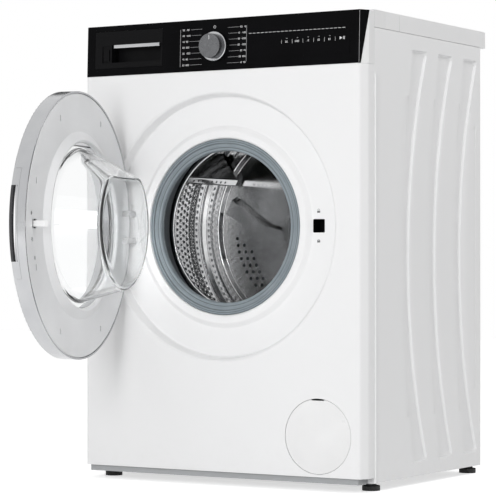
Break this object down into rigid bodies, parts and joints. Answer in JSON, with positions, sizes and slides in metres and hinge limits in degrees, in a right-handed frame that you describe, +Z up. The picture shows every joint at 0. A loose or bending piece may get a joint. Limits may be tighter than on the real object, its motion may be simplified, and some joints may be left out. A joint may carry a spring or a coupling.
{
  "type": "front-loading washing machine",
  "caption": "Upright front-loading washing machine with a round glass door standing open, a steel drum in a rubber seal, a dark control panel and a detergent drawer.",
  "frame": {"origin": "on the floor at the middle of the four feet", "axes": "+Z up, +X to the viewer's right when facing the door, -Y towards the viewer"},
  "size_m": [0.597, 0.946, 0.845],
  "materials": {
    "white_paint": "satin white enamel on sheet steel",
    "white_laminate": "satin white laminate board",
    "white_plastic": "smooth white moulded plastic",
    "pale_grey_plastic": "pale grey moulded plastic",
    "black_gloss": "polished black panel",
    "black_plastic": "fine grained black plastic",
    "dark_grip": "dark smooth plastic",
    "bright_trim": "satin bright plating",
    "knob_grey": "metallic grey lacquer, spun lines",
    "grey_plastic": "mid grey moulded plastic",
    "glass": "clear pressed glass",
    "seal_rubber": "slate grey moulded rubber",
    "foot_rubber": "black moulded rubber and plastic",
    "stainless": "polished stainless sheet",
    "steel": "zinc plated steel",
    "galvanised": "galvanised sheet",
    "tub_plastic": "filled polypropylene",
    "cast_iron": "coated casting",
    "aluminium": "as cast",
    "belt_rubber": "ribbed belt rubber"
  },
  "bodies": {
    "cabinet": {"side_panel_left": "white_paint", "side_panel_right": "white_paint", "front_panel": "white_paint", "rear_panel": "galvanised", "service_cover": "galvanised", "base_tray": "grey_plastic", "worktop": "white_laminate", "worktop_front_rail": "white_plastic", "upper_frame": "galvanised", "console_frame": "white_plastic", "fascia": "black_gloss", "dispenser_housing": "white_plastic", "control_board": "white_plastic", "hinge_bracket": "steel", "door_lock": "black_plastic", "gasket": "seal_rubber", "damper_cylinders": "white_plastic", "pump_body": "white_plastic", "inlet_valve": "white_plastic", "cord_gland": "black_plastic", "drain_outlet": "grey_plastic"},
    "foot_front_left": {"foot_front_left": "foot_rubber"},
    "foot_front_right": {"foot_front_right": "foot_rubber"},
    "foot_rear_left": {"foot_rear_left": "foot_rubber"},
    "foot_rear_right": {"foot_rear_right": "foot_rubber"},
    "drawer": {"drawer_front": "black_plastic", "drawer_grip_bar": "bright_trim", "drawer_tray": "white_plastic"},
    "knob": {"programme_knob": "knob_grey", "knob_ring": "bright_trim"},
    "door": {"door_ring": "bright_trim", "door_handle": "bright_trim", "door_grip_bar": "dark_grip", "door_inner_frame": "pale_grey_plastic", "door_screws": "steel", "door_glass": "glass", "hook_pin": "steel", "hinge_arm": "steel"},
    "hook": {"latch_hook": "white_plastic"},
    "tub": {"gasket_collar": "seal_rubber", "tub_front": "tub_plastic", "tub_rear": "tub_plastic", "balance_weights": "cast_iron", "drum_bearings": "steel", "motor_stator": "aluminium", "heater": "steel", "damper_rods": "grey_plastic", "suspension_springs": "steel", "sump_hose": "belt_rubber", "drive_belt": "belt_rubber"},
    "drum": {"drum_shell": "stainless", "drum_front": "stainless", "drum_back": "stainless", "drum_lifters": "stainless", "drum_spider": "aluminium", "drum_pulley": "aluminium"},
    "rotor": {"motor_rotor": "steel"},
    "filter_door": {"filter_cover": "white_plastic"},
    "plug": {"filter_plug": "grey_plastic"},
    "impeller": {"pump_impeller": "black_plastic"}
  },
  "joints": [
    {"name": "door_hinge", "type": "hinge", "parent": "cabinet", "child": "door", "pos_m": [-0.213, -0.273, 0.4665], "axis": [0, 0, -1], "range_deg": [-77.4, 50]},
    {"name": "door_hook", "type": "hinge", "parent": "door", "child": "hook", "pos_m": [-0.11261, -0.6717, 0.4665], "axis": [0, 0, 1], "range_deg": [0, 10], "stiffness_Nm_per_rad": 0.25},
    {"name": "drawer_slide", "type": "slide", "parent": "cabinet", "child": "drawer", "axis": [0, -1, 0], "range_m": [0, 0.215]},
    {"name": "knob_turn", "type": "hinge", "parent": "cabinet", "child": "knob", "pos_m": [-0.007, -0.264, 0.792], "axis": [0, -1, 0], "continuous": true},
    {"name": "tub_bounce", "type": "slide", "parent": "cabinet", "child": "tub", "axis": [0, 0, 1], "range_m": [-0.006, 0.006], "stiffness_N_per_m": 12000, "springref_m": 0.0228, "deforming": ["suspension_springs", "sump_hose"]},
    {"name": "drum_spin", "type": "hinge", "parent": "tub", "child": "drum", "pos_m": [0, -0.064, 0.4665], "axis": [0, 1, 0], "continuous": true},
    {"name": "motor_spin", "type": "hinge", "parent": "tub", "child": "rotor", "pos_m": [0.07, 0.036, 0.122], "axis": [0, 1, 0], "continuous": true},
    {"name": "filter_door_tip", "type": "hinge", "parent": "cabinet", "child": "filter_door", "pos_m": [0.2066, -0.264, 0.035], "axis": [1, 0, 0], "range_deg": [0, 80]},
    {"name": "filter_plug_turn", "type": "hinge", "parent": "cabinet", "child": "plug", "pos_m": [0.2066, -0.244, 0.0963], "axis": [0, -1, 0], "range_deg": [0, 90]},
    {"name": "impeller_spin", "type": "hinge", "parent": "cabinet", "child": "impeller", "pos_m": [0.2066, -0.154, 0.0963], "axis": [0, -1, 0], "continuous": true},
    {"name": "foot_front_left_turn", "type": "hinge", "parent": "cabinet", "child": "foot_front_left", "pos_m": [-0.2755, -0.195, 0], "axis": [0, 0, 1], "continuous": true},
    {"name": "foot_front_right_turn", "type": "hinge", "parent": "cabinet", "child": "foot_front_right", "pos_m": [0.2755, -0.195, 0], "axis": [0, 0, 1], "continuous": true},
    {"name": "foot_rear_left_turn", "type": "hinge", "parent": "cabinet", "child": "foot_rear_left", "pos_m": [-0.2755, 0.195, 0], "axis": [0, 0, 1], "continuous": true},
    {"name": "foot_rear_right_turn", "type": "hinge", "parent": "cabinet", "child": "foot_rear_right", "pos_m": [0.2755, 0.195, 0], "axis": [0, 0, 1], "continuous": true}
  ],
  "couplings": [
    {"joint": "motor_spin", "follows": "drum_spin", "ratio": 11.135}
  ]
}
